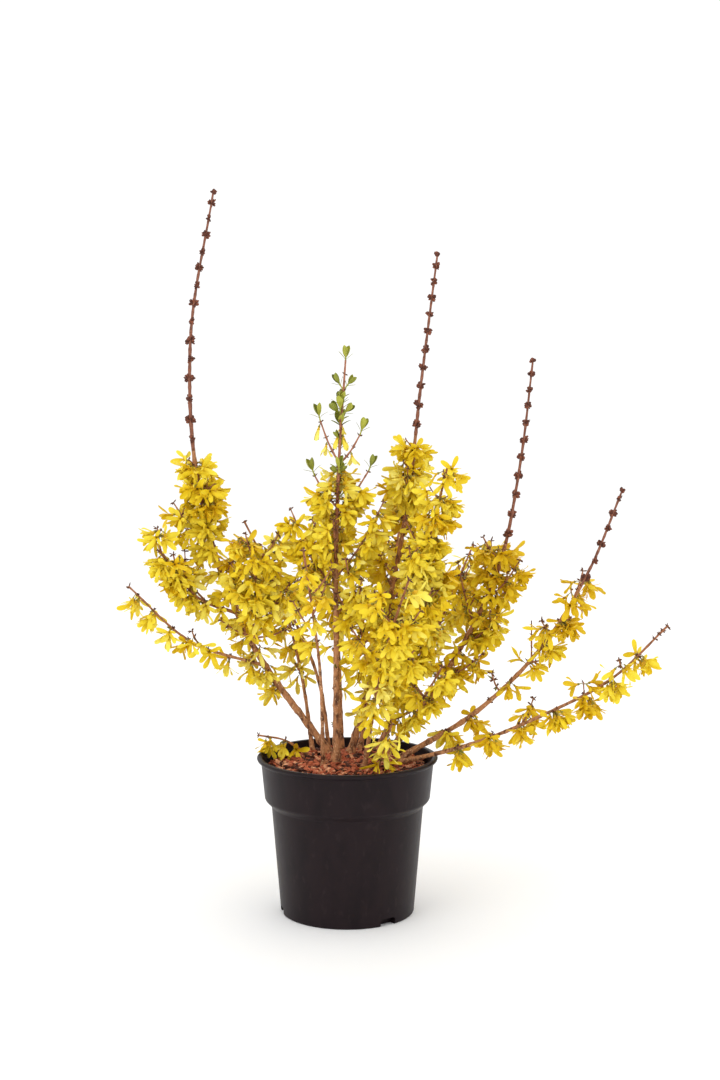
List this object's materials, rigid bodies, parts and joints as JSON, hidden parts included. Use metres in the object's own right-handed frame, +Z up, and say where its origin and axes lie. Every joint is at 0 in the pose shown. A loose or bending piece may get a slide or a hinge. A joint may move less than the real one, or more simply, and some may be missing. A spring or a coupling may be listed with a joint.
{
  "type": "potted forsythia shrub",
  "caption": "Young forsythia shrub in yellow bloom, with bare budded shoots above the blossom, standing in a round black nursery pot filled with bark mulch.",
  "frame": {"origin": "middle of the flat underside of the pot", "axes": "+Z up along the pot's axis, -Y towards the viewer of the picture, +X to the right in it"},
  "size_m": [0.6891, 0.4759, 0.9112],
  "materials": {
    "pot": "satin black moulded plastic",
    "mulch": "loose reddish bark chips, matte",
    "bark": "tan brown ribbed bark with pale pores",
    "shoot": "reddish brown young bark with dark shrivelled buds",
    "petals": "soft matte yellow petals",
    "leaves": "soft yellow green young leaves"
  },
  "bodies": {
    "root": {"pot": "pot", "mulch": "mulch", "back_centre_stem": "bark", "back_left_stem": "bark", "back_mid_stem": "bark", "back_outer_left_stem": "bark", "back_right_stem": "bark", "centre_stem": "bark", "front_left_stem": "bark", "front_right_stem": "bark", "left_stem": "bark", "low_right_stem": "bark", "lowest_right_stem": "bark", "mid_stem": "bark", "second_stem": "bark", "tall_right_stem": "bark", "back_centre_blossom": "petals", "back_left_blossom": "petals", "back_mid_blossom": "petals", "back_outer_left_blossom": "petals", "back_right_blossom": "petals", "centre_blossom": "petals", "front_left_blossom": "petals", "front_right_blossom": "petals", "front_sprig_blossom": "petals", "left_blossom": "petals", "left_inner_blossom": "petals", "left_low_blossom": "petals", "left_outer_blossom": "petals", "low_right_blossom": "petals", "lowest_right_blossom": "petals", "mid_blossom": "petals", "mid_inner_blossom": "petals", "rim_sprig_blossom": "petals", "second_blossom": "petals", "second_low_blossom": "petals", "tall_right_blossom": "petals", "left_shoot": "shoot", "low_right_shoot": "shoot", "mid_shoot": "shoot", "tall_right_shoot": "shoot", "centre_leafy_tip": "leaves"}
  },
  "joints": []
}
